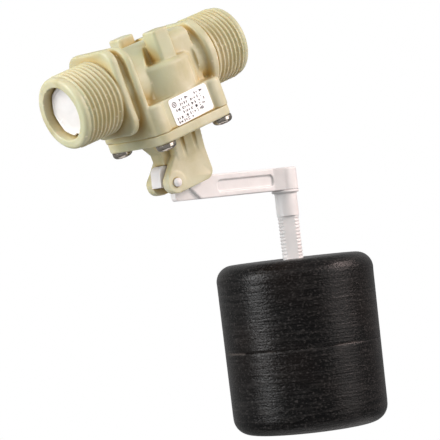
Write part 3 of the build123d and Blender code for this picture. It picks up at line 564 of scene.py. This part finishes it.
def float_lower():
    """The lower half: the side below the seam, a rounder bottom edge and a slightly dished bottom."""
    inner = float_side_radius(FLOAT_SEAM) - FLOAT_WALL
    top = FLOAT_SEAM - 0.02 * MM
    side_start = FLOAT_SEAM - SEAM_HALF_WIDTH
    side_end = FLOAT_BOTTOM + FLOAT_BOTTOM_FILLET
    dish_r = 15.0 * MM
    profile = [(0, FLOAT_BOTTOM + FLOAT_WALL), (inner, FLOAT_BOTTOM + FLOAT_WALL + FLOAT_BOTTOM_FILLET / 2)]
    profile += [(inner, top), (float_side_radius(FLOAT_SEAM) - SEAM_DEPTH, top)]
    profile += line((float_side_radius(side_start), side_start), (float_side_radius(side_end), side_end), 22)
    centre = (FLOAT_BOTTOM_R - FLOAT_BOTTOM_FILLET, side_end)
    profile += arc(centre, FLOAT_BOTTOM_FILLET, 0, -90, 20)
    profile += line((dish_r, FLOAT_BOTTOM), (dish_r - 1.5 * MM, FLOAT_BOTTOM + 0.5 * MM), 3)
    profile += [(dish_r - 2.5 * MM, FLOAT_BOTTOM + 0.6 * MM), (2.4 * MM, FLOAT_BOTTOM + 0.6 * MM)]
    profile += arc((0, FLOAT_BOTTOM + 0.6 * MM + 1.2 * MM), 2.1 * MM, -35, -90, 5)[:-1]
    profile += [(0, FLOAT_BOTTOM + 0.6 * MM - 0.3 * MM)]
    return float_piece("float_lower", profile)


finish_piece(float_upper(), "float", "black_float", replaces=["float_upper_shell"])
finish_piece(float_lower(), "float", "black_float", replaces=["float_lower_shell"])


# ---- Screws ----

def screw_head():
    """A pan head facing down; screws() cuts the tapered cross recess into it."""
    bottom = -SCREW_HEAD_H
    crown = 1.5 * MM
    profile = [(0, 0), (SCREW_HEAD_R - 0.15 * MM, 0), (SCREW_HEAD_R, -0.15 * MM)]
    profile += arc((SCREW_HEAD_R - crown, bottom + crown + 0.25 * MM), crown, 0, -72, 12)
    profile += [(SCREW_HEAD_R * 0.42, bottom + 0.06 * MM), (SCREW_HEAD_R * 0.2, bottom + 0.01 * MM)]
    profile.append((0, bottom))
    return lathe(profile, 72)


def cross_recess():
    """The cutter of the recess: two tapered bars crossed."""
    shape = bmesh.new()
    half_width = 0.55 * MM
    outside = 0.4 * MM
    for turn in (0, math.pi / 2):
        rotation = Matrix.Rotation(turn, 4, "Z")
        levels = ((SCREW_RECESS_R * 1.1, half_width * 1.15, -SCREW_HEAD_H - outside),
                  (SCREW_RECESS_R, half_width, -SCREW_HEAD_H),
                  (SCREW_RECESS_R * 0.3, half_width * 0.55, -SCREW_HEAD_H + SCREW_RECESS_DEPTH))
        rings = [[shape.verts.new(rotation @ Vector((sx * length, sy * width, z)))
                  for sx, sy in ((1, 1), (-1, 1), (-1, -1), (1, -1))] for length, width, z in levels]
        for lower, upper in zip(rings, rings[1:]):
            for i in range(4):
                shape.faces.new((lower[i], lower[(i + 1) % 4], upper[(i + 1) % 4], upper[i]))
        shape.faces.new(rings[0])
        shape.faces.new(rings[-1])
    return shape


def screws():
    """Four heads, each turned to its own angle."""
    cutter_shape = cross_recess()
    bmesh.ops.recalc_face_normals(cutter_shape, faces=cutter_shape.faces)
    pieces = []
    turns_deg = {(-1, -1): 22, (1, -1): 71, (-1, 1): 48, (1, 1): 5}
    for (sx, sy), turn in turns_deg.items():
        seat = (SCREW_CENTRE_X + sx * SCREW_HALF_PITCH, sy * SCREW_HALF_PITCH, SCREW_SEAT)
        head = new_piece(f"screw_{len(pieces) + 1}", screw_head())
        cutter = new_piece("cutter", cutter_shape.copy())
        cut = head.modifiers.new("recess", "BOOLEAN")
        cut.operation = "DIFFERENCE"
        cut.use_self = True
        cut.object = cutter
        applied(head)
        bpy.data.objects.remove(cutter)
        edge = head.modifiers.new("edge", "BEVEL")
        edge.width = 0.07 * MM
        edge.segments = 2
        edge.limit_method = "ANGLE"
        edge.angle_limit = math.radians(38)
        applied(head)
        head.data.transform(Matrix.Translation(seat) @ Matrix.Rotation(math.radians(turn), 4, "Z"))
        pieces.append(head)
    cutter_shape.free()
    return pieces


heads = screws()
for head in heads:
    finish_piece(head, "valve", "plated_steel")
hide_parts("cover_screws")


# ---- Strainer ----

def strainer():
    """A shallow white cup in the inlet: eight soft corners, a raised rim, a dished face and a pull notch."""
    segments = 192
    corners = 8
    rim_width = 0.9 * MM
    levels = [(1.0, STRAINER_DEPTH), (1.0, 0.35 * MM), (0.985, 0.10 * MM), (0.96, 0.0), (0.90, 0.0),
              (0.885, 0.22 * MM), (0.86, 0.34 * MM), (0.6, 0.30 * MM), (0.3, 0.24 * MM), (0.0, 0.2 * MM)]
    shape = bmesh.new()
    rings = []
    for share, depth in levels:
        ring = []
        for i in range(segments):
            angle = math.tau * i / segments
            octagon = math.cos(math.pi / corners) / math.cos(
                (angle % (math.tau / corners)) - math.pi / corners)
            edge = STRAINER_FLAT_R + (STRAINER_R - STRAINER_FLAT_R) * 0.5
            radius = share * edge * (1 + 0.55 * (octagon - 1))
            notch = math.exp(-((angle - 1.5 * math.pi) / 0.13) ** 2)
            radius -= notch * rim_width * 1.3 * max(0.0, (share - 0.8) / 0.2)
            ring.append(shape.verts.new((STRAINER_FACE + depth, radius * math.cos(angle),
                                         radius * math.sin(angle))))
        rings.append(ring)
    for outer, inner in zip(rings, rings[1:]):
        for i in range(segments):
            j = (i + 1) % segments
            shape.faces.new((outer[i], outer[j], inner[j], inner[i]))
    return new_piece("strainer", shape)


finish_piece(strainer(), "valve", "white_acetal", replaces=["inlet_strainer"])


# ---- Label ----

LABEL_PLACE = (Matrix.Translation(LABEL_CENTRE) @ Matrix.Rotation(-LABEL_TILT, 4, "Y")
               @ Matrix.Rotation(math.pi / 2, 4, "X"))


def rounded_outline(width, height, corner, steps=8):
    """Points round a rectangle with round corners."""
    points = []
    for sx, sy, start in ((1, 1, 0), (-1, 1, 90), (-1, -1, 180), (1, -1, 270)):
        centre = (sx * (width / 2 - corner), sy * (height / 2 - corner))
        points += arc(centre, corner, start, start + 90, steps)
    return points


def plate(shape, outline, low, high):
    """A flat plate between two heights, added to shape."""
    bottom = [shape.verts.new((x, y, low)) for x, y in outline]
    top = [shape.verts.new((x, y, high)) for x, y in outline]
    shape.faces.new(top)
    shape.faces.new(bottom[::-1])
    for i, corner in enumerate(bottom):
        j = (i + 1) % len(bottom)
        shape.faces.new((corner, bottom[j], top[j], top[i]))


def sticker():
    shape = bmesh.new()
    plate(shape, rounded_outline(*LABEL_SIZE, LABEL_CORNER), 0.01 * MM, LABEL_THICKNESS)
    return new_piece("sticker", shape, LABEL_PLACE)


def stroke(shape, left, right, low, high):
    """An upright rectangle of ink on the film."""
    outline = [(left, low), (right, low), (right, high), (left, high)]
    plate(shape, outline, LABEL_THICKNESS, LABEL_THICKNESS + INK_THICKNESS)


def print_marks():
    """Generic print: a ring with two bars through it, and rows of short strokes in two plain patterns."""
    shape = bmesh.new()
    low, high = LABEL_THICKNESS, LABEL_THICKNESS + INK_THICKNESS
    left = -LABEL_SIZE[0] / 2
    last = -left - PRINT_MARGIN
    ring_centre = Vector((left + 2.0 * MM, 2.5 * MM))
    for i in range(RING_STEPS):
        a, b = (math.tau * k / RING_STEPS for k in (i, i + 1))
        corners = [(ring_centre.x + r * math.cos(t), ring_centre.y + r * math.sin(t))
                   for r, t in ((RING_INNER_R, a), (RING_OUTER_R, a), (RING_OUTER_R, b), (RING_INNER_R, b))]
        plate(shape, corners, low, high)
    for height in (0.25 * MM, -0.25 * MM):
        plate(shape, [(ring_centre.x + cx, ring_centre.y + height + cy)
                      for cx, cy in rounded_outline(*RING_BAR_SIZE, 0.1 * MM, 2)], low, high)
    # Height and start of each row, its number of marks, and how wide and tall they are, in millimetres
    rows = ((3.2, 4.6, 4, 0.80, 0.95), (3.2, 11.6, 4, 0.75, 0.85), (1.7, 4.4, 11, 0.50, 0.95),
            (0.25, 2.0, 15, 0.46, 0.95), (-1.2, 4.7, 12, 0.50, 0.95), (-2.6, 1.3, 15, 0.50, 1.0),
            (-3.9, 1.4, 6, 0.75, 0.95))
    for height, start, count, mark, tall in rows:
        middle = height * MM
        for k in range(count):
            gap = 0.36 + 0.14 * math.sin(k * 2.4 + height)
            width = mark * (0.8 + 0.35 * math.sin(k * 1.7 + height * 3))
            x = left + (start + k * (mark + gap)) * MM
            end = x + width * MM
            if end > last:
                break
            half = 0.5 * tall * MM * (0.8 + 0.2 * math.cos(k * 3.1))
            if k % 3 == 1:
                stroke(shape, x, end, middle - half, middle - half + STROKE)
                stroke(shape, x, end, middle + half - STROKE, middle + half)
            else:
                post = x + STROKE * 1.4
                stroke(shape, x, post, middle - half, middle + half)
                stroke(shape, post, end, middle - STROKE / 2, middle + STROKE / 2)
    return new_piece("print_marks", shape, LABEL_PLACE)


sticker_piece = finish_piece(sticker(), "valve", "label_film", replaces=["label"])
marks_piece = finish_piece(print_marks(), "valve", "label_ink")
for flat_piece in (sticker_piece, marks_piece):
    for polygon in flat_piece.data.polygons:
        polygon.use_smooth = False


# ---- CAD nodes that keep their shape ----

KEPT = {
    "pivot_pin": "white_acetal", "pin_clip": "spring_steel", "pilot_nozzle": "brass", "nozzle_seal": "rubber",
    "diaphragm": "rubber", "diaphragm_guide": "white_acetal", "diaphragm_plate": "white_acetal",
    "guide_screw": "plated_steel", "bleed_jet": "brass", "main_spring": "spring_steel",
    "pilot_pad": "rubber", "float_insert": "white_acetal",
}
for node, material in KEPT.items():
    paint(frame["nodes"][node], material)


# ---- Stage ----

LOW, HIGH = (Vector(corner) for corner in CAD_BOX)
CENTRE = (LOW + HIGH) / 2

# Camera: what it looks at, which way it stands from there, how far off, and how far it is rolled
CAMERA_POSITION = Vector((-0.4285, -0.6494, 0.0833))
CAMERA_RIGHT = Vector((0.723, -0.603, -0.337))
CAMERA_UP = Vector((0.371, -0.071, 0.926))
CAMERA_LENS_MM = 188.4
SENSOR_MM = 36.0

# How bright the surroundings look, how much they light the object, and the floor's size and depth below
SKY_SEEN = 1.0
SKY_LIGHT = 0.44
GROUND_LIGHT = 0.24
FLOOR_SEEN = 0.65
FLOOR_GLOW = 0.08
FLOOR_HALF = 0.4
FLOOR_DROP = 0.5


def camera():
    back = CAMERA_RIGHT.cross(CAMERA_UP).normalized()
    up = back.cross(CAMERA_RIGHT).normalized()
    right = up.cross(back)
    place = Matrix((right, up, back)).transposed().to_4x4()
    place.translation = CAMERA_POSITION
    data = bpy.data.cameras.new("camera")
    data.lens = CAMERA_LENS_MM
    data.sensor_width = SENSOR_MM
    data.clip_start = 0.01
    data.clip_end = 50
    piece = bpy.data.objects.new("camera", data)
    piece.matrix_world = place
    bpy.context.scene.collection.objects.link(piece)
    bpy.context.scene.camera = piece
    return right, up, back


def softbox(name, direction, distance, size, power, colour=(1, 1, 1)):
    """An area light that looks at the middle of the object."""
    data = bpy.data.lights.new(name, "AREA")
    data.shape = "RECTANGLE"
    data.size, data.size_y = size
    data.energy = power
    data.color = colour
    lamp = bpy.data.objects.new(name, data)
    lamp.location = CENTRE + direction.normalized() * distance
    lamp.rotation_euler = direction.to_track_quat("Z", "Y").to_euler()
    bpy.context.scene.collection.objects.link(lamp)


def floor():
    """A small pale stand below, bright enough to read as white."""
    shape = bmesh.new()
    bmesh.ops.create_grid(shape, x_segments=4, y_segments=4, size=FLOOR_HALF)
    piece = new_piece("floor", shape, Matrix.Translation((CENTRE.x, CENTRE.y, LOW.z - FLOOR_DROP)))
    pale = Shader("pale_floor", Roughness=0.9, Specular_IOR_Level=0.1, Base_Color=(0.93, 0.93, 0.93, 1),
                  Emission_Color=(1, 1, 1, 1))
    glow = pale.add("ShaderNodeMapRange")
    glow.inputs["To Min"].default_value = FLOOR_GLOW
    glow.inputs["To Max"].default_value = FLOOR_SEEN
    pale.link(pale.add("ShaderNodeLightPath").outputs["Is Camera Ray"], glow.inputs["Value"])
    pale.link(glow.outputs["Result"], pale.bsdf.inputs["Emission Strength"])
    piece.data.materials.append(pale.material)


def world():
    """White behind the object, and a dimmer white that lights it."""
    sky = bpy.data.worlds.new("studio")
    sky.use_nodes = True
    tree = sky.node_tree
    background = tree.nodes["Background"]
    background.inputs["Color"].default_value = (1, 1, 1, 1)
    direction = tree.nodes.new("ShaderNodeTexCoord")
    split = tree.nodes.new("ShaderNodeSeparateXYZ")
    glow = tree.nodes.new("ShaderNodeMapRange")
    glow.inputs["From Min"].default_value = -0.5
    glow.inputs["From Max"].default_value = 0.2
    glow.inputs["To Min"].default_value = GROUND_LIGHT
    glow.inputs["To Max"].default_value = SKY_LIGHT
    path = tree.nodes.new("ShaderNodeLightPath")
    level = tree.nodes.new("ShaderNodeMapRange")
    level.inputs["To Max"].default_value = SKY_SEEN
    tree.links.new(direction.outputs["Generated"], split.inputs["Vector"])
    tree.links.new(split.outputs["Z"], glow.inputs["Value"])
    tree.links.new(glow.outputs["Result"], level.inputs["To Min"])
    tree.links.new(path.outputs["Is Camera Ray"], level.inputs["Value"])
    tree.links.new(level.outputs["Result"], background.inputs["Strength"])
    bpy.context.scene.world = sky


def round_the_camera(turn_deg, rise):
    """A direction turned from the camera's about its up axis, and raised."""
    turn = math.radians(turn_deg)
    return math.sin(turn) * right + math.cos(turn) * back + rise * up


right, up, back = camera()
world()
floor()
softbox("left", round_the_camera(-64, 0.25), 0.8, (0.24, 0.7), 8.0)
softbox("right", round_the_camera(60, 0.25), 0.8, (0.5, 0.7), 3.0, (1.0, 0.94, 0.91))
softbox("front", round_the_camera(-8, 0.8), 0.9, (0.7, 0.35), 1.2)
softbox("top", Vector((0.1, -0.1, 1)), 0.8, (0.7, 0.7), 0.25)
softbox("shoulder", 0.8 * right + 0.62 * up + 0.1 * back, 0.7, (0.25, 0.25), 3.6, (1.0, 0.80, 0.76))
bpy.context.scene.view_settings.view_transform = "Standard"
